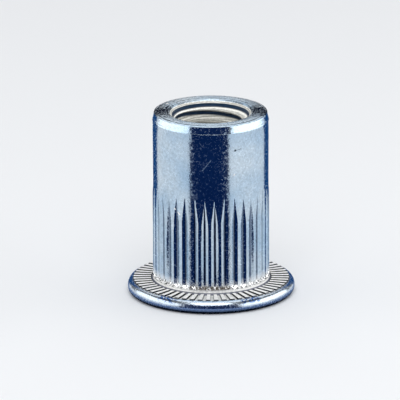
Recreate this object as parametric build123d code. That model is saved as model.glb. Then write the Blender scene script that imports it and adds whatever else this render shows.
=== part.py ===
from build123d import *
from math import pi, radians, tan
import os

# An open-ended rivet nut with a flat head and a knurled barrel, cold-formed in one piece.
# It stands on its head: the head's outer face is at z = 0 and the threaded end points up.
# Millimetres, with the bore along Z.

# Barrel
barrel_diameter = 9.0
overall_length = 14.6
lead_in_length = 0.7
lead_in_reduction = 0.09
end_edge_rounding = 0.12

# Head, a flange with a rounded rim and a narrow straight band round it
head_overhang = 2.0
head_plate_thickness = 1.05
rim_upper_rounding = 0.39
rim_band_height = 0.18

# Thread, cut down to its core diameter here and left smooth
thread_diameter = 6.0
thread_pitch = 1.0
thread_length = 6.5
countersink_allowance = 0.5
countersink_half_angle = 60.0

# Chamber, the wide bore behind the thread, whose thin wall folds up when the nut is set
chamber_wall = 1.0
chamber_cone_half_angle = 60.0
chamber_mouth_chamfer = 0.2

# Knurl, straight V grooves round the lower barrel with pointed upper ends. Rolling them raises
# the metal between them a little over the plain barrel, and a short shoulder leads down from it.
knurl_count = 36
knurl_rise = 0.03
knurl_shoulder_length = 0.6
knurl_shoulder_drop = 0.1
groove_width = 0.5
groove_depth = 0.13
groove_foot_gap = 0.28
groove_foot_ramp = 0.52
groove_full_length = 4.85
groove_tip_ramp = 2.1
cut_margin = 0.06

# Serrations, raised radial ribs on the side of the head that bears on the sheet
serration_count = 60
serration_height = 0.1
serration_fill = 0.9
serration_crest_width = 0.34
serration_neck_gap = 0.15
serration_rim_gap = 0.01
serration_root = 0.1

barrel_radius = barrel_diameter / 2
head_radius = barrel_radius + head_overhang
rim_lower_rounding = head_plate_thickness - rim_band_height - rim_upper_rounding
core_radius = (thread_diameter - thread_pitch) / 2
chamber_radius = barrel_radius - chamber_wall
knurl_radius = barrel_radius + knurl_rise
groove_full_start = head_plate_thickness + groove_foot_gap + groove_foot_ramp
groove_full_end = groove_full_start + groove_full_length
knurl_end = groove_full_end + groove_tip_ramp - knurl_shoulder_drop


def slope_height(width, half_angle):
    """Height of a cone whose radius changes by width, with its half angle in degrees."""
    return width / tan(radians(half_angle))


def make_blank():
    """The turned form, without knurl and serrations: one closed outline spun about the bore."""
    lead_in_start = overall_length - lead_in_length
    end_radius = barrel_radius - lead_in_reduction
    countersink_radius = (thread_diameter + countersink_allowance) / 2
    countersink_height = slope_height(countersink_radius - core_radius, countersink_half_angle)
    thread_start = overall_length - thread_length
    chamber_top = thread_start - slope_height(chamber_radius - core_radius, chamber_cone_half_angle)
    corners = [
        (chamber_radius + chamber_mouth_chamfer, 0, 0),
        (head_radius, 0, rim_lower_rounding),
        (head_radius, head_plate_thickness, rim_upper_rounding),
        (knurl_radius, head_plate_thickness, 0),
        (knurl_radius, knurl_end - knurl_shoulder_length, 0),
        (barrel_radius, knurl_end, 0),
        (barrel_radius, lead_in_start, 0),
        (end_radius, overall_length, end_edge_rounding),
        (countersink_radius, overall_length, 0),
        (core_radius, overall_length - countersink_height, 0),
        (core_radius, thread_start, 0),
        (chamber_radius, chamber_top, 0),
        (chamber_radius, chamber_mouth_chamfer, 0),
    ]
    points = [(radius, height) for radius, height, _ in corners]
    roundings = [rounding for _, _, rounding in corners]
    outline = Plane.XZ * make_face(FilletPolyline(*points, radius=roundings, close=True))
    return revolve(outline, Axis.Z)


def make_groove():
    """One groove's cutter: a V whose bottom line rises out of the barrel at both ends."""
    run_on = (groove_depth + cut_margin) / groove_depth
    outer_radius = knurl_radius + cut_margin
    outer_half = groove_width / 2 * run_on
    outline = Polyline(
        (knurl_radius - groove_depth, 0),
        (outer_radius, -outer_half),
        (outer_radius, outer_half),
        close=True,
    )
    section = make_face(outline)
    foot_run = Vector(groove_depth, 0, -groove_foot_ramp) * run_on
    tip_run = Vector(groove_depth, 0, groove_tip_ramp) * run_on
    groove = extrude(Pos(0, 0, groove_full_start) * section, groove_full_length)
    groove += extrude(Pos(0, 0, groove_full_start) * section, foot_run.length, dir=foot_run)
    groove += extrude(Pos(0, 0, groove_full_end) * section, tip_run.length, dir=tip_run)
    return groove


def make_serration():
    """One rib of the head, a bar of trapezoid section that runs out along X."""
    inner_radius = knurl_radius + serration_neck_gap
    outer_radius = head_radius - rim_upper_rounding - serration_rim_gap
    foot_half = serration_fill * pi * inner_radius / serration_count
    crest_half = serration_crest_width / 2
    root_height = head_plate_thickness - serration_root
    crest_height = head_plate_thickness + serration_height
    outline = Polyline(
        (-foot_half, root_height),
        (foot_half, root_height),
        (foot_half, head_plate_thickness),
        (crest_half, crest_height),
        (-crest_half, crest_height),
        (-foot_half, head_plate_thickness),
        close=True,
    )
    return extrude(Plane.YZ.offset(inner_radius) * make_face(outline), outer_radius - inner_radius)


def make_nut():
    """The whole nut as one solid."""
    groove = make_groove()
    serration = make_serration()
    nut = make_blank()
    nut -= [place * groove for place in PolarLocations(0, knurl_count)]
    nut += [place * serration for place in PolarLocations(0, serration_count)]
    return nut


os.makedirs("parts", exist_ok=True)
rivet_nut = make_nut()
export_step(rivet_nut.solid(), "parts/rivet_nut.step")
print("volume", round(rivet_nut.volume, 2), "mm3")
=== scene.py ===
import bpy
import bmesh
from math import cos, sin, radians, pi, sqrt, tan
from mathutils import Vector, Matrix


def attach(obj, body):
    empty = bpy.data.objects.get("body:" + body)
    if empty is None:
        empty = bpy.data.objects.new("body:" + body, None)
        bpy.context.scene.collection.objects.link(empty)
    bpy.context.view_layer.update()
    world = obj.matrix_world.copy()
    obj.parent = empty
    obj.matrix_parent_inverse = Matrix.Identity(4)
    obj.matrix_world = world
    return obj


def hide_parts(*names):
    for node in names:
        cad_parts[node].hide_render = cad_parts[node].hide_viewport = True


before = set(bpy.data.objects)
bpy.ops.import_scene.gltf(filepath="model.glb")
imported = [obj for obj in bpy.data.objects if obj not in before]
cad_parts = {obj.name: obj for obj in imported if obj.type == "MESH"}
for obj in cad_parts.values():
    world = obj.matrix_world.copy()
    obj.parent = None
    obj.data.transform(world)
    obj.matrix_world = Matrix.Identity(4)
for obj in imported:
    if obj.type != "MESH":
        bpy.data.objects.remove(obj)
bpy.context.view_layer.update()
bpy.ops.object.select_all(action="DESELECT")

# The nut is modelled in millimetres, standing on its head at z = 0, and brought down to metres at the end.
toMetres = 0.001
mergeReach = 0.002            # points nearer to each other than this are one
pointReach = 0.0001           # the same within one row, whose points are closer together
leastMove = 0.0000001         # smaller moves are only rounding
waveUnit = pi / 10            # scale of a wave texture whose bands are 1 apart


def rgb(hexColour):
    # sRGB hex to linear
    parts = [int(hexColour[i:i + 2], 16) / 255 for i in (1, 3, 5)]
    return tuple(p / 12.92 if p <= 0.04045 else ((p + 0.055) / 1.055) ** 2.4 for p in parts) + (1.0,)


def pick(test):
    # in edit mode, select the vertices whose place passes the test
    mesh = bpy.context.object.data
    bm = bmesh.from_edit_mesh(mesh)
    for v in bm.verts:
        v.select_set(test(v.co))
    bm.select_flush_mode()
    bmesh.update_edit_mesh(mesh)


def mergeAll(reach):
    bpy.ops.mesh.select_all(action="SELECT")
    bpy.ops.mesh.remove_doubles(threshold=reach)


def startPoint(name, place):
    # a plane merged to one vertex, which is then pulled into a line or a row
    bpy.ops.object.select_all(action="DESELECT")
    bpy.ops.mesh.primitive_plane_add(size=0.1)
    obj = bpy.context.object
    obj.name = name
    bpy.ops.object.mode_set(mode="EDIT")
    bpy.ops.mesh.select_mode(type="VERT")
    bpy.ops.mesh.merge(type="CENTER")
    bpy.ops.transform.translate(value=place)
    return obj


def startRow(name, radius, height, sector, columns):
    # the first row of one sector, centred on the X axis
    half = radians(sector / 2)
    obj = startPoint(name, (radius * cos(half), radius * sin(half), height))
    bpy.ops.mesh.spin(steps=columns, angle=radians(sector), center=(0, 0, 0), axis=(0, 0, 1))
    mergeAll(pointReach)
    return obj


def pullTo(shift):
    bpy.ops.mesh.extrude_region_move(TRANSFORM_OT_translate={"value": shift})


def widen(factor):
    bpy.ops.transform.resize(value=(factor, factor, 1), center_override=(0, 0, 0))


def copyRound(count):
    # the sector that was modelled once, copied all the way round and sewn up
    bpy.ops.mesh.select_all(action="SELECT")
    bpy.ops.mesh.spin(steps=count - 1, dupli=True, angle=2 * pi * (count - 1) / count,
                      center=(0, 0, 0), axis=(0, 0, 1))
    mergeAll(mergeReach)
    bpy.ops.object.mode_set(mode="OBJECT")


def report(obj, stage):
    bm = bmesh.new()
    bm.from_mesh(obj.data)
    openEdges = sum(1 for e in bm.edges if len(e.link_faces) != 2)
    triangles = sum(len(f.verts) - 2 for f in bm.faces)
    print(stage, "triangles", triangles, "open edges", openEdges, "volume", round(bm.calc_volume(), 3))
    bm.free()


# The barrel's knurl: straight rolled grooves with a rounded bottom, which run out to a point above.
barrel = {
    "grooves": 36,
    "columns": 20,            # faces across one groove and the land beside it, one of them ends at its edge
    "plainRadius": 4.5,
    "landRadius": 4.53,       # rolled metal stands a little proud
    "shoulderStart": 8.1,
    "shoulderEnd": 8.7,
    "grooveHalfWidth": 0.2765,
    "bottomRounding": 0.2,
    "flankSlope": 34.0,       # degrees from the barrel's surface
    "footStart": 1.42,
    "footEnd": 1.62,
    "levelRows": (3.4, 5.1),  # where the groove is full, so that its faces aren't too long
    "rampStart": 6.7,
    "tip": 8.8,
    "lastOpening": 0.99,      # a wider row on the ramps is left to the one where the groove is full
    "leastRow": 0.004,        # rows closer than this to the one below are left out
    "rowReach": 0.002,        # how near to its line a point is taken as on it
}


def grooveDepth(across, opening):
    # depth of the rounded V at a distance from its middle line, opened from 0 at its tips to 1
    if opening <= 0:
        return 0.0
    u = across / opening
    r, slope = barrel["bottomRounding"], radians(barrel["flankSlope"])
    arcHalf = r * sin(slope)
    flankFall = (barrel["grooveHalfWidth"] - arcHalf) * tan(slope)
    if u < arcHalf:
        depth = flankFall + r - r * cos(slope) - (r - sqrt(r * r - u * u))
    else:
        depth = flankFall - (u - arcHalf) * tan(slope)
    return max(0.0, depth) * opening


def landRadius(z):
    b = barrel
    share = min(1.0, max(0.0, (z - b["shoulderStart"]) / (b["shoulderEnd"] - b["shoulderStart"])))
    return b["landRadius"] + (b["plainRadius"] - b["landRadius"]) * share


def flareTop():
    # height at which the barrel's foot starts to widen into the head
    return headShape["plateTop"] + headShape["flareRadius"] * sin(radians(headShape["flareTurn"]))


def barrelRows():
    # height of each row and how far the groove is open there, so that its edge meets a column at each row
    b = barrel
    step = radians(360 / b["grooves"] / b["columns"])
    openings = [sin(step * i) * b["landRadius"] / b["grooveHalfWidth"] for i in range(1, b["columns"] // 2)]
    openings = [k for k in openings if k < b["lastOpening"]] + [1.0]
    foot = b["footEnd"] - b["footStart"]
    ramp = b["tip"] - b["rampStart"]
    rows = [(b["footStart"], 0), (b["tip"], 0)]
    rows += [(b["footStart"] + foot * k, k) for k in openings]
    rows += [(z, 1) for z in b["levelRows"]]
    rows += [(b["tip"] - ramp * k, k) for k in openings]
    rows += [(z, (b["tip"] - z) / ramp) for z in (b["shoulderStart"], b["shoulderEnd"])]
    return sorted(rows)


def makeBarrel():
    b = barrel
    sector = 360 / b["grooves"]
    step = radians(sector / b["columns"])
    height = flareTop()
    near = b["rowReach"]
    obj = startRow("barrel", b["landRadius"], height, sector, b["columns"])
    radii = [b["landRadius"]] * (b["columns"] // 2 + 1)
    for z, opening in barrelRows():
        if z - height < b["leastRow"]:
            continue
        pullTo((0, 0, z - height))
        height = z
        for i, old in enumerate(radii):
            new = landRadius(z) - grooveDepth(step * i * b["landRadius"], opening)
            if abs(new - old) > leastMove:
                side = sin(step * i) * old
                pick(lambda co: abs(co.z - z) < near and abs(abs(co.y) - side) < near)
                widen(new / old)
                radii[i] = new
        pick(lambda co: abs(co.z - z) < near)
    copyRound(b["grooves"])
    return obj


# The head: a plate with radial teeth on the side that bears on the sheet, and a rounded rim.
headShape = {
    "ribs": 60,
    "columns": 12,            # faces across one rib
    "plateTop": 1.05,
    "ribHeight": 0.1,
    # radius, and share of the rib's height there, from the barrel out
    "ribLine": [(4.66, 0), (4.68, 0.75), (4.72, 1), (5.1, 1), (5.6, 1), (6.03, 1), (6.08, 0.85), (6.1, 0.6),
                (6.105, 0)],
    # share of the rib's height at each column, from its middle to the valley beside it
    "ribSection": [1.0, 1.0, 1.0, 1.0, -0.3, -0.3, -0.3],
    "rimInner": 6.112,
    "rimRadius": 6.5,
    "shoulderHigh": 0.55,     # the rim's upper rounding, taller than it is wide
    "lowerRounding": 0.48,
    "chamberMouth": 3.7,
    "flareRadius": 0.35,      # the barrel's foot widens into the head
    "flareTurn": 48.0,        # degrees
    "flareRows": 5,
    "shoulderRows": 8,
    "lowerRows": 7,
    "ribReach": 0.003,        # how near to its line a point is taken as on it
    "ringReach": 0.0008,
    "levelReach": 0.001,
    "valleyReach": 0.08,      # how far below the row the valleys are looked for
}


def headRows():
    # radius, height and share of the rib for each row, from the barrel out over the rim to the underside
    h = headShape
    top, low, flare = h["plateTop"], h["lowerRounding"], h["flareRadius"]
    rows = []
    for i in range(1, h["flareRows"] + 1):
        a = radians(h["flareTurn"]) * i / h["flareRows"]
        rows.append((barrel["landRadius"] + flare * (1 - cos(a)), flareTop() - flare * sin(a), 0))
    rows += [(radius, top, share) for radius, share in h["ribLine"]]
    wide = h["rimRadius"] - h["rimInner"]
    for i in range(1, h["shoulderRows"] + 1):
        a = pi / 2 * i / h["shoulderRows"]
        rows.append((h["rimInner"] + wide * sin(a), top - h["shoulderHigh"] * (1 - cos(a)), 0))
    for i in range(h["lowerRows"] + 1):
        a = pi / 2 * i / h["lowerRows"]
        rows.append((h["rimRadius"] - low * (1 - cos(a)), low - low * sin(a), 0))
    rows.append((h["chamberMouth"], 0, 0))
    return rows


def raiseRib(radius, height, lift, newLift):
    # the newest row takes the rib's section, from the share of it that the row before had
    h = headShape
    step = radians(360 / h["ribs"] / h["columns"])
    near = h["ribReach"]
    for i, share in enumerate(h["ribSection"]):
        rise = (newLift - lift) * share * h["ribHeight"]
        if abs(rise) > leastMove:
            side, out = sin(step * i) * radius, cos(step * i) * radius
            level = height + lift * share * h["ribHeight"]
            pick(lambda co: abs(abs(co.y) - side) < near and abs(co.x - out) < near
                 and abs(co.z - level) < near)
            bpy.ops.transform.translate(value=(0, 0, rise))


def makeHead():
    h = headShape
    radius, height, lift = barrel["landRadius"], flareTop(), 0.0
    obj = startRow("head", radius, height, 360 / h["ribs"], h["columns"])
    for newRadius, newHeight, newLift in headRows():
        pullTo((0, 0, newHeight - height))
        widen(newRadius / radius)
        raiseRib(newRadius, newHeight, lift, newLift)
        radius, height, lift = newRadius, newHeight, newLift
        lowest = height - h["valleyReach"] * lift - h["levelReach"]
        highest = height + h["ribHeight"] * lift + h["levelReach"]
        pick(lambda co: abs(co.xy.length - radius) < h["ringReach"] and lowest < co.z < highest)
    copyRound(h["ribs"])
    return obj


# The plain barrel, the threaded end, the bore and the chamber: one line, turned round the bore.
turned = {
    "steps": 720,
    # radius and height, from the knurl's end up over the end face and down the bore to the head's mouth
    "line": [
        (4.500, 8.80), (4.502, 10.2), (4.510, 11.8), (4.518, 13.2), (4.520, 13.93), (4.530, 13.965),
        (4.509, 14.01), (4.504, 14.07), (4.475, 14.20), (4.425, 14.43), (4.415, 14.50), (4.398, 14.535),
        (4.365, 14.555), (4.290, 14.566), (4.150, 14.585), (4.000, 14.597), (3.800, 14.602),
        (3.600, 14.597), (3.450, 14.585), (3.320, 14.567), (3.270, 14.550), (3.240, 14.530),
        (3.035, 14.365), (3.005, 14.335), (3.000, 14.135), (2.975, 14.105), (2.570, 13.960),
        (2.520, 13.930), (2.500, 13.880), (2.500, 8.10), (3.480, 7.53), (3.500, 7.50), (3.500, 0.22),
        (3.515, 0.185), (3.685, 0.015), (3.700, 0.0),
    ],
}


def makeTurned():
    line = turned["line"]
    obj = startPoint("turned", (line[0][0], 0, line[0][1]))
    for (r0, z0), (r1, z1) in zip(line, line[1:]):
        pullTo((r1 - r0, 0, z1 - z0))
    bpy.ops.mesh.select_all(action="SELECT")
    bpy.ops.mesh.spin(steps=turned["steps"], angle=2 * pi, center=(0, 0, 0), axis=(0, 0, 1))
    mergeAll(mergeReach)
    bpy.ops.object.mode_set(mode="OBJECT")
    return obj


# The thread: M6 x 1, right-hand, cut out of the bore as a tap does it.
thread = {
    "pitch": 1.0,
    "rootRadius": 3.0,
    "rootHalf": 0.0625,       # an eighth of the pitch, flat at the bottom of the groove
    "rootSoftening": 0.02,    # its corners are broken by this much
    "flankAngle": 30.0,       # degrees
    "edgeRadius": 2.56,       # from here inwards the ridge's edges are broken at 45 degrees
    "innerRadius": 2.4,       # inside the bore, so that the cutter clears it
    "start": 7.0,             # in the chamber, where it meets nothing
    "turns": 8,
    "phase": 237.6,           # degrees
    "stepsPerTurn": 120,
}


def threadSection():
    # corners of the groove that is cut, as radius and height
    t = thread
    soft = t["rootSoftening"]
    edgeHalf = t["rootHalf"] + (t["rootRadius"] - t["edgeRadius"]) * tan(radians(t["flankAngle"]))
    innerHalf = edgeHalf + t["edgeRadius"] - t["innerRadius"]
    upper = [(t["rootRadius"], t["rootHalf"] - soft / 2), (t["rootRadius"] - soft, t["rootHalf"] + soft),
             (t["edgeRadius"], edgeHalf), (t["innerRadius"], innerHalf)]
    return [(r, -z) for r, z in reversed(upper)] + upper


def makeThreadCutter():
    t = thread
    a = radians(t["phase"])
    places = [Vector((r * cos(a), r * sin(a), t["start"] + z)) for r, z in threadSection()]
    obj = startPoint("threadCutter", places[0])
    for p, q in zip(places, places[1:]):
        pullTo(q - p)
    bpy.ops.mesh.select_all(action="SELECT")
    bpy.ops.mesh.edge_face_add()
    bpy.ops.mesh.delete(type="ONLY_FACE")
    bpy.ops.object.mode_set(mode="OBJECT")
    screw = obj.modifiers.new("Screw", "SCREW")
    screw.axis = "Z"
    screw.angle = 2 * pi
    screw.screw_offset = t["pitch"]
    screw.iterations = t["turns"]
    screw.steps = screw.render_steps = t["stepsPerTurn"]
    screw.use_merge_vertices = False
    bpy.ops.object.modifier_apply(modifier="Screw")
    bpy.ops.object.mode_set(mode="EDIT")
    bpy.ops.mesh.select_all(action="SELECT")
    bpy.ops.mesh.fill_holes(sides=0)
    bpy.ops.mesh.select_all(action="SELECT")
    bpy.ops.mesh.normals_make_consistent(inside=False)
    bpy.ops.object.mode_set(mode="OBJECT")
    return obj


# The whole nut: its turned, knurled and toothed skins sewn into one, then tapped.
nutPlan = {
    "name": "rivet_nut_steel",
    "smoothAngle": 26.0,      # degrees, sharper edges stay edges
}


def joinSkins(skins):
    bpy.ops.object.select_all(action="DESELECT")
    for skin in skins:
        skin.select_set(True)
    nut = skins[0]
    bpy.context.view_layer.objects.active = nut
    bpy.ops.object.join()
    nut.name = nut.data.name = nutPlan["name"]
    bpy.ops.object.mode_set(mode="EDIT")
    mergeAll(mergeReach)
    bpy.ops.mesh.normals_make_consistent(inside=False)
    bpy.ops.object.mode_set(mode="OBJECT")
    report(nut, "skin")
    return nut


def cutThread(nut):
    cutter = makeThreadCutter()
    report(cutter, "thread cutter")
    bpy.ops.object.select_all(action="DESELECT")
    bpy.context.view_layer.objects.active = nut
    nut.select_set(True)
    cut = nut.modifiers.new("Thread", "BOOLEAN")
    cut.operation = "DIFFERENCE"
    cut.object = cutter
    cut.solver = "MANIFOLD"
    bpy.ops.object.modifier_apply(modifier="Thread")
    bpy.data.objects.remove(cutter)
    report(nut, "with thread")


def makeNut():
    nut = joinSkins([makeBarrel(), makeHead(), makeTurned()])
    cutThread(nut)
    bpy.ops.object.mode_set(mode="EDIT")
    bpy.ops.mesh.select_all(action="SELECT")
    bpy.ops.transform.resize(value=(toMetres, toMetres, toMetres), center_override=(0, 0, 0))
    bpy.ops.object.mode_set(mode="OBJECT")
    bpy.ops.object.shade_smooth_by_angle(angle=radians(nutPlan["smoothAngle"]))
    return nut


# The finish: bright zinc plate over cold-formed steel, with a pale blue passivation. The eye sees sharp dark
# and light bands along the barrel, a faint blue, fine specks in the plate's grain, matt and nearly white
# teeth, and turning marks on the cut end. Millimetres, unless a note says otherwise.
finish = {
    "name": "bright zinc plated steel",
    # the plate's tint drifts from one to the other
    "blue": "#A9C3DA",
    "pale": "#C9D8E4",
    "tintSpan": (0.35, 0.65),
    "cloud": 3.5,             # from one tint to the other
    "cloudDetail": 3.0,
    "speck": 0.18,            # the plate's grain, drawn several times coarser than it is, so that it shows
    "grainDetail": 2.0,
    "grainHarshness": 0.6,
    "turning": 0.24,          # from one turning mark to the next on the end face, coarser too
    "turningWander": 2.0,
    "turningBreak": 2.0,
    "tapping": 0.15,          # from one line to the next in the bore, drawn for the tap's marks and as painted highlights and shade on the thread's edges, coarser too
    "tapWander": 1.5,
    "lineDetail": 2.0,
    "grooveRise": 0.115,      # the grooves' bottoms come up by this much at their tips
    # where each kind of surface is: which measure, its value where the surface starts and where it is full
    "zones": {
        "head": [("height", 1.43, 1.23)],
        "rim": [("height", 1.2, 1.1)],
        "foot": [("height", 2.2, 1.5)],
        "grooves": [("sunk", 4.188, 4.212), ("sunk", 4.422, 4.398), ("height", 1.55, 1.75),
                    ("height", 8.3, 8.1)],
        "ribs": [("height", 0.91, 0.95), ("height", 1.43, 1.23), ("radius", 4.07, 4.13),
                 ("radius", 6.15, 6.09)],
        "flankShade": [("height", 1.021, 1.029), ("height", 1.145, 1.137), ("radius", 4.66, 4.69),
                   ("radius", 6.15, 6.09)],
        "neckShade": [("height", 0.985, 1.015), ("height", 1.205, 1.175), ("radius", 4.07, 4.13),
                 ("radius", 4.68, 4.66)],
        "end": [("height", 14.52, 14.56)],
        "bore": [("radius", 3.19, 3.14)],
        "rootShade": [("radius", 3.19, 3.14), ("radius", 3.16, 3.04), ("radius", 2.8, 2.92),
                  ("height", 6.99, 7.01), ("height", 14.35, 14.33)],
    },
    # colour, and metallic, in the order that they are laid over each other
    "tints": {
        "grooves": ("#66758A", 1.0),  # painted shade, darker along the bottoms of the knurl's grooves
        "foot": ("#FFFFFF", 1.0),     # painted highlight, brighter where the knurl runs out above the head
        "rim": ("#C9D6E4", 1.0),
        "ribs": ("#FCFCFA", 0.1),     # rolled teeth, where the plate is matt and nearly white
        "flankShade": ("#262B34", 1.0),   # painted shade on the teeth's sides, where the plate is bright metal again
        "neckShade": ("#6E7280", 0.5),     # painted shade in the corner where the barrel meets the teeth
        "bore": ("#FAFAF2", 0.15),
        "rootShade": ("#123A5C", 0.15),   # painted shade, darker at the bottom of the thread
    },
    # roughness: mean, and how much the specks add, first the barrel's and then what is laid over it
    "rough": (0.12, 0.2),
    "roughOver": {
        "head": (0.19, 0.15),
        "ribs": (0.45, 0.15),
        "end": (0.05, 0.26),
        "bore": (0.35, 0.1),
        "flankShade": (0.15, 0.1),
    },
    "specks": (0.5, 0.68),    # where in the grain's range they start and are full
    # light and dark in the colour: the grain everywhere, and in the bore lines for the tap's marks, which
    # also paint highlights and shade on the thread's edges
    "grainSpan": (0.3, 0.7),
    "grainShade": (0.8, 1.12),
    "tapMarksAndPaintedEdges": (0.55, 1.2),
    # relief: strength and depth in metres
    "grainRelief": (0.35, 0.00002),
    "turningRelief": (1.0, 0.000026),
    "boreCalm": 0.25,         # share of the grain's relief that is left in the bore
    # colour, metallic, half width, and two ends: degrees round from the front, radius and height
    "wear": {
        "scratch": ("#6A82A2", 0.3, 0.028, (-12.2, 4.51, 11.06), (-3.6, 4.51, 11.90)),
        "nick": ("#F4F7FA", 0.2, 0.05, (19.9, 4.5, 10.60), (20.2, 4.5, 10.66)),
        "pit": ("#1A2230", 1.0, 0.07, (20.9, 4.51, 12.57), (21.3, 4.51, 12.60)),
        "pit's tail": ("#3A4658", 1.0, 0.02, (20.9, 4.51, 12.57), (27.7, 4.51, 12.66)),
        "knurl scratch": ("#FFFFFF", 0.0, 0.05, (-42.1, 4.53, 7.76), (-36.0, 4.53, 7.36)),
        "burr": ("#FFFFFF", 0.2, 0.09, (-125.5, 3.92, 14.6), (-124.0, 3.98, 14.6)),
    },
    "wearEdge": (1.3, 0.7),   # where a mark starts and is full, as shares of its half width
    # painted reflections, as broken dark patches on the rim, and dark flecks at the front of the foot, given
    # likewise
    "paintedRimReflectionsAndFlecks": {
        # painted reflections of the dark band's edges on the rim's shoulder, either side of the front
        "left": ("#2F5A98", 1.0, 0.34, (-42.0, 6.3, 0.92), (-31.0, 6.3, 0.92)),
        "right": ("#2F5A98", 1.0, 0.34, (20.0, 6.3, 0.92), (31.0, 6.3, 0.92)),
        "foot, left": ("#585048", 0.3, 0.21, (-24.0, 4.53, 1.54), (-3.0, 4.53, 1.54)),
        "foot, right": ("#585048", 0.3, 0.21, (-3.0, 4.53, 1.54), (14.0, 4.53, 1.54)),
    },
    "patchEdge": (1.0, 0.4),
    "patchGrain": (0.45, 0.5),
}


def addNode(tree, kind, settings=None, inputs=None):
    # settings are the node's own choices; an input, by name or number, gets a value or another node's socket
    node = tree.nodes.new(kind)
    for key, value in (settings or {}).items():
        setattr(node, key, value)
    for key, value in (inputs or {}).items():
        if isinstance(value, bpy.types.NodeSocket):
            tree.links.new(value, node.inputs[key])
        else:
            node.inputs[key].default_value = value
    return node


def addMeasures(tree):
    # the place in millimetres, its radius and height, and the radius less the rise of the grooves' bottoms
    metres = addNode(tree, "ShaderNodeTexCoord").outputs["Object"]
    place = addNode(tree, "ShaderNodeMapping", None,
                    {"Vector": metres, "Scale": (1 / toMetres,) * 3}).outputs["Vector"]
    height = addNode(tree, "ShaderNodeSeparateXYZ", None, {"Vector": place}).outputs["Z"]
    flat = addNode(tree, "ShaderNodeMapping", None, {"Vector": place, "Scale": (1, 1, 0)}).outputs["Vector"]
    radius = addNode(tree, "ShaderNodeVectorMath", {"operation": "LENGTH"},
                     {"Vector": flat}).outputs["Value"]
    rising = addNode(tree, "ShaderNodeMapRange", None,
                     {"Value": height, "From Min": barrel["rampStart"], "From Max": barrel["tip"],
                      "To Max": finish["grooveRise"]}).outputs["Result"]
    sunk = addNode(tree, "ShaderNodeMath", {"operation": "SUBTRACT"},
                   {0: radius, 1: rising}).outputs["Value"]
    return place, {"radius": radius, "height": height, "sunk": sunk}


def addMask(tree, measures, edges):
    # 1 where every edge has been crossed, and 0 outside any of them
    mask = None
    for measure, outside, inside in edges:
        edge = addNode(tree, "ShaderNodeMapRange", None,
                       {"Value": measures[measure], "From Min": outside,
                        "From Max": inside}).outputs["Result"]
        if mask is not None:
            edge = addNode(tree, "ShaderNodeMath", {"operation": "MULTIPLY"},
                           {0: mask, 1: edge}).outputs["Value"]
        mask = edge
    return mask


def nearLine(tree, place, start, stop):
    # distance from the line between two places, each in degrees round from the front, radius and height
    ends = [Vector((r * sin(radians(a)), -r * cos(radians(a)), z)) for a, r, z in (start, stop)]
    run = ends[1] - ends[0]
    away = addNode(tree, "ShaderNodeVectorMath", {"operation": "SUBTRACT"}, {0: place, 1: ends[0]})
    along = addNode(tree, "ShaderNodeVectorMath", {"operation": "DOT_PRODUCT"},
                    {0: away.outputs["Vector"], 1: run / run.length_squared})
    share = addNode(tree, "ShaderNodeMapRange", None, {"Value": along.outputs["Value"]})
    onLine = addNode(tree, "ShaderNodeVectorMath", {"operation": "SCALE"},
                     {0: run, "Scale": share.outputs["Result"]})
    gap = addNode(tree, "ShaderNodeVectorMath", {"operation": "DISTANCE"},
                  {0: away.outputs["Vector"], 1: onLine.outputs["Vector"]})
    return gap.outputs["Value"]


def addMarks(tree, place, grain):
    # the wear, the painted reflections on the rim and the flecks on the foot as layers of colour, metallic
    # and mask
    f = finish
    layers = []
    for marks, (outer, inner), broken in ((f["wear"], f["wearEdge"], []),
                                          (f["paintedRimReflectionsAndFlecks"], f["patchEdge"], [("grain", *f["patchGrain"])])):
        for hexColour, metallic, halfWidth, start, stop in marks.values():
            measures = {"gap": nearLine(tree, place, start, stop), "grain": grain}
            edges = [("gap", halfWidth * outer, halfWidth * inner)] + broken
            layers.append((hexColour, metallic, addMask(tree, measures, edges)))
    return layers


def addTints(tree, place, grain, masks):
    # colour and metallic, from the drifting tint up through every layer over it
    f = finish
    cloud = addNode(tree, "ShaderNodeTexNoise", None,
                    {"Vector": place, "Scale": 1 / f["cloud"], "Detail": f["cloudDetail"]})
    tint = addNode(tree, "ShaderNodeValToRGB", None, {"Fac": cloud.outputs["Fac"]})
    first, last = tint.color_ramp.elements
    first.position, last.position = f["tintSpan"]
    first.color, last.color = rgb(f["blue"]), rgb(f["pale"])
    colour, metal = tint.outputs["Color"], 1.0
    layers = [(hexColour, metallic, masks[name]) for name, (hexColour, metallic) in f["tints"].items()]
    for hexColour, metallic, mask in layers + addMarks(tree, place, grain):
        mix = addNode(tree, "ShaderNodeMix", {"data_type": "RGBA"},
                      {"Factor": mask, 6: colour, 7: rgb(hexColour)})
        colour = mix.outputs[2]
        mix = addNode(tree, "ShaderNodeMix", {"data_type": "FLOAT"},
                      {"Factor": mask, "A": metal, "B": metallic})
        metal = mix.outputs["Result"]
    return colour, metal


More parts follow.
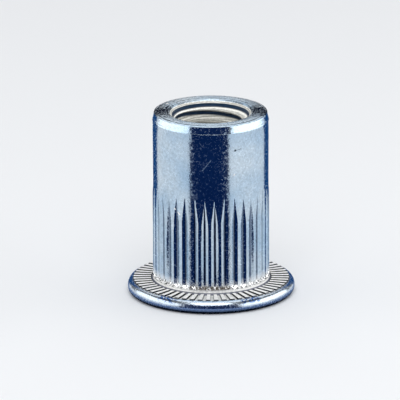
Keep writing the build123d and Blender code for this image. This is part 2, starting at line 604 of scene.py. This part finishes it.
def addShade(tree, place, grain, bore, colour):
    # the colour made lighter and darker by the grain, and in the bore by lines for the tap's marks, which
    # also paint highlights and shade on the thread's edges
    f = finish
    shade = addNode(tree, "ShaderNodeMapRange", None,
                    {"Value": grain, "From Min": f["grainSpan"][0], "From Max": f["grainSpan"][1],
                     "To Min": f["grainShade"][0], "To Max": f["grainShade"][1]}).outputs["Result"]
    lines = addNode(tree, "ShaderNodeTexWave", {"bands_direction": "Z"},
                    {"Vector": place, "Scale": waveUnit / f["tapping"], "Distortion": f["tapWander"],
                     "Detail": f["lineDetail"]}).outputs["Fac"]
    dim = addNode(tree, "ShaderNodeMapRange", None,
                  {"Value": lines, "To Min": f["tapMarksAndPaintedEdges"][0], "To Max": f["tapMarksAndPaintedEdges"][1]}).outputs["Result"]
    inBore = addNode(tree, "ShaderNodeMix", {"data_type": "FLOAT"}, {"Factor": bore, "A": 1.0, "B": dim})
    both = addNode(tree, "ShaderNodeMath", {"operation": "MULTIPLY"},
                   {0: shade, 1: inBore.outputs["Result"]})
    return addNode(tree, "ShaderNodeVectorMath", {"operation": "SCALE"},
                   {0: colour, "Scale": both.outputs["Value"]}).outputs["Vector"]


def addRoughness(tree, grain, masks):
    # each surface's own roughness, and duller specks
    f = finish
    levels = []
    for part in (0, 1):
        level = f["rough"][part]
        for name, values in f["roughOver"].items():
            level = addNode(tree, "ShaderNodeMix", {"data_type": "FLOAT"},
                            {"Factor": masks[name], "A": level, "B": values[part]}).outputs["Result"]
        levels.append(level)
    specks = addMask(tree, {"grain": grain}, [("grain", *f["specks"])])
    return addNode(tree, "ShaderNodeMath", {"operation": "MULTIPLY_ADD"},
                   {0: specks, 1: levels[1], 2: levels[0]}).outputs["Value"]


def addRelief(tree, place, grain, masks):
    # the grain everywhere, fainter in the bore, and turning marks on the end face
    f = finish
    calm = addNode(tree, "ShaderNodeMapRange", None,
                   {"Value": masks["bore"], "To Min": 1.0, "To Max": f["boreCalm"]}).outputs["Result"]
    low = addNode(tree, "ShaderNodeMath", {"operation": "MULTIPLY"}, {0: grain, 1: calm}).outputs["Value"]
    strength, depth = f["grainRelief"]
    fine = addNode(tree, "ShaderNodeBump", None, {"Strength": strength, "Distance": depth, "Height": low})
    rings = addNode(tree, "ShaderNodeTexWave", {"wave_type": "RINGS", "rings_direction": "Z"},
                    {"Vector": place, "Scale": waveUnit / f["turning"], "Distortion": f["turningWander"],
                     "Detail": f["lineDetail"], "Detail Scale": f["turningBreak"]}).outputs["Fac"]
    cut = addNode(tree, "ShaderNodeMath", {"operation": "MULTIPLY"},
                  {0: rings, 1: masks["end"]}).outputs["Value"]
    strength, depth = f["turningRelief"]
    return addNode(tree, "ShaderNodeBump", None, {"Strength": strength, "Distance": depth, "Height": cut,
                                                  "Normal": fine.outputs["Normal"]}).outputs["Normal"]


def makeZinc():
    f = finish
    material = bpy.data.materials.new(f["name"])
    material.use_nodes = True
    tree = material.node_tree
    place, measures = addMeasures(tree)
    masks = {name: addMask(tree, measures, edges) for name, edges in f["zones"].items()}
    grain = addNode(tree, "ShaderNodeTexNoise", None,
                    {"Vector": place, "Scale": 1 / f["speck"], "Detail": f["grainDetail"],
                     "Roughness": f["grainHarshness"]}).outputs["Fac"]
    colour, metal = addTints(tree, place, grain, masks)
    shader = tree.nodes["Principled BSDF"].inputs
    tree.links.new(addShade(tree, place, grain, masks["bore"], colour), shader["Base Color"])
    tree.links.new(metal, shader["Metallic"])
    tree.links.new(addRoughness(tree, grain, masks), shader["Roughness"])
    tree.links.new(addRelief(tree, place, grain, masks), shader["Normal"])
    print("finish", f["name"], "nodes", len(tree.nodes))
    return material


# The stage: a pale floor, four soft boxes, and dark and light cards that only the metal's reflections see.
studio = {
    "floor": "#EDEFF2",
    "floorSize": 4,           # metres
    "floorRough": 0.9,
    "world": 0.22,
    "worldSeen": 0.9,         # what the camera sees of it past the floor
    "turn": -3.6,             # degrees, the camera's azimuth, which the cards and boxes follow
    # place, what it is aimed at, width and height in metres, watts
    "boxes": {
        "left": ((-0.15, -0.033, 0.05), (0, -0.033, 0.05), 0.27, 0.10, 0.13),
        "right": ((0.15, -0.033, 0.05), (0, -0.033, 0.05), 0.27, 0.10, 0.17),
        "top": ((0, 0.1, 0.25), (0, 0, 0), 0.30, 0.40, 0.42),
        "key": ((0, -0.2, 0.24), (0, 0, 0), 0.25, 0.20, 0.40),
    },
    # the cards' side edges: a point in millimetres and the direction outwards
    "edges": {
        "front left": ((-1.635, -4.193), (-0.677, -0.736)),
        "front right": ((1.398, -4.277), (0.591, -0.807)),
        "left": ((-4.142, -1.758), (-0.719, 0.695)),
        "right": ((4.127, -1.794), (0.731, 0.682)),
        "back left": ((-4.45, -0.6), (-0.2, 0.98)),
        "back right": ((4.45, -0.6), (0.2, 0.98)),
    },
    # colour, inner and outer radius, inner and outer height in millimetres, then the two side edges, if any
    "cards": {
        # they give the dark band down the barrel's front
        "front card": ("#0A2652", 8.4, 60, 0.05, 0.3, "front left", "front right"),
        "front wall": ("#0A2652", 60, 80, 0.1, 45, "front left", "front right"),
        # the blue edges of the barrel
        "back right card": ("#1B4C80", 7.5, 22, 0.1, 14.5, "right", "back right"),
        "back left card": ("#1B4C80", 7.5, 22, 0.1, 14.5, "back left", "left"),
        # the dark sides of the end face, and its light front and back
        "back wall": ("#0A1024", 22, 36, 16.5, 30, "right", "left"),
        "low back glow": ("#FFFFFF", 22.1, 36, 14.7, 16.9, "right", "left"),
        "high back glow": ("#FFFFFF", 36, 60, 30, 66, "right", "left"),
        # the bands along the rim
        "rim card": ("#7D92B8", 6.95, 8.3, 0.04, 0.06),
        "lower rim card": ("#5A6A88", 6.55, 6.95, 0.03, 0.04),
        "foot card": ("#020818", 6.1, 6.55, 0.02, 0.03),
    },
    "cardSides": 96,
}


def makeGlow(name, colour):
    # plain colour that needs no light, for the cards
    material = bpy.data.materials.new(name)
    material.use_nodes = True
    tree = material.node_tree
    tree.nodes.remove(tree.nodes["Principled BSDF"])
    glow = addNode(tree, "ShaderNodeEmission", None, {"Color": rgb(colour), "Strength": 1.0})
    tree.links.new(glow.outputs["Emission"], tree.nodes["Material Output"].inputs["Surface"])
    return material


def makeCard(name, colour, inner, outer, low, high, *edges):
    bpy.ops.object.select_all(action="DESELECT")
    bpy.ops.mesh.primitive_cone_add(vertices=studio["cardSides"], radius1=inner, radius2=outer,
                                    depth=high - low, location=(0, 0, (high + low) / 2),
                                    end_fill_type="NOTHING")
    card = bpy.context.object
    card.name = name
    bpy.ops.object.transform_apply(location=True)
    bpy.ops.object.mode_set(mode="EDIT")
    for side, edge in zip((1, -1), edges):
        (px, py), (dx, dy) = studio["edges"][edge]
        bpy.ops.mesh.select_all(action="SELECT")
        bpy.ops.mesh.bisect(plane_co=(px, py, 0), plane_no=(dy * side, -dx * side, 0), clear_outer=True)
    bpy.ops.object.mode_set(mode="OBJECT")
    card.scale = (toMetres,) * 3
    card.rotation_euler.z = radians(studio["turn"])
    card.data.materials.append(makeGlow(name, colour))
    # seen in reflections alone, so it gives and blocks no other light
    card.visible_camera = card.visible_diffuse = card.visible_shadow = False
    card.visible_volume_scatter = card.visible_transmission = False


def makeFloor():
    bpy.ops.object.select_all(action="DESELECT")
    bpy.ops.mesh.primitive_plane_add(size=studio["floorSize"], location=(0, 0, 0))
    floor = bpy.context.object
    floor.name = "floor"
    material = bpy.data.materials.new("pale floor")
    material.use_nodes = True
    shader = material.node_tree.nodes["Principled BSDF"].inputs
    shader["Base Color"].default_value = rgb(studio["floor"])
    shader["Roughness"].default_value = studio["floorRough"]
    shader["Specular IOR Level"].default_value = 0.0
    floor.data.materials.append(material)


def makeWorld():
    # dim for what it lights and mirrors, pale where the camera looks at it
    world = bpy.data.worlds.new("studio")
    bpy.context.scene.world = world
    world.use_nodes = True
    tree = world.node_tree
    background = tree.nodes["Background"].inputs
    background["Color"].default_value = (1, 1, 1, 1)
    path = addNode(tree, "ShaderNodeLightPath").outputs
    seen = addNode(tree, "ShaderNodeMath", {"operation": "MAXIMUM"},
                   {0: path["Is Camera Ray"], 1: path["Is Transmission Ray"]}).outputs["Value"]
    level = addNode(tree, "ShaderNodeMapRange", None,
                    {"Value": seen, "To Min": studio["world"], "To Max": studio["worldSeen"]})
    tree.links.new(level.outputs["Result"], background["Strength"])


def makeBoxes():
    turn = Matrix.Rotation(radians(studio["turn"]), 3, "Z")
    for name, (place, aim, wide, high, power) in studio["boxes"].items():
        light = bpy.data.lights.new(name, "AREA")
        light.shape = "RECTANGLE"
        light.size, light.size_y = wide, high
        light.energy = power
        obj = bpy.data.objects.new(name, light)
        bpy.context.scene.collection.objects.link(obj)
        obj.location = turn @ Vector(place)
        obj.rotation_euler = (turn @ Vector(aim) - obj.location).to_track_quat("-Z", "Y").to_euler()
        obj.visible_camera = False


def makeStage():
    makeFloor()
    makeWorld()
    makeBoxes()
    for name, values in studio["cards"].items():
        makeCard(name, *values)
    print("stage", len(studio["boxes"]), "soft boxes,", len(studio["cards"]), "cards")


# The camera: the photograph's angle, from far off with a long lens.
cameraPlan = {
    "distance": 0.7,
    "azimuth": -3.6,          # degrees to the left of straight on
    "elevation": 17.0,
    "roll": 0.25,
    "pixelsPerMetre": 12856,
    "frame": 400,
    "aim": (0, 0, 0.0073),
    "aimPixel": (210.9, 200.7),
    "sensor": 36,             # millimetres
    "clip": (0.01, 20),
}


def makeCamera():
    c = cameraPlan
    a, e = radians(c["azimuth"]), radians(c["elevation"])
    back = Vector((sin(a) * cos(e), -cos(a) * cos(e), sin(e)))
    right = Vector((cos(a), sin(a), 0))
    up = back.cross(right)
    offRight, offDown = [(pixel - c["frame"] / 2) / c["pixelsPerMetre"] for pixel in c["aimPixel"]]
    centre = Vector(c["aim"]) - right * offRight + up * offDown
    roll = Matrix.Rotation(-radians(c["roll"]), 3, back)
    data = bpy.data.cameras.new("camera")
    data.sensor_width = c["sensor"]
    data.lens = c["sensor"] * c["pixelsPerMetre"] * c["distance"] / c["frame"]
    data.clip_start, data.clip_end = c["clip"]
    obj = bpy.data.objects.new("camera", data)
    bpy.context.scene.collection.objects.link(obj)
    basis = Matrix((roll @ right, roll @ up, back)).transposed().to_4x4()
    basis.translation = centre + back * c["distance"]
    obj.matrix_world = basis
    bpy.context.scene.camera = obj
    print("camera", round(data.lens), "mm lens at", c["distance"], "m")


makeCamera()
nut = makeNut()
nut.data.materials.clear()
nut.data.materials.append(makeZinc())
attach(nut, "root")
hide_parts("rivet_nut")
makeStage()
bpy.context.scene.view_settings.view_transform = "Standard"
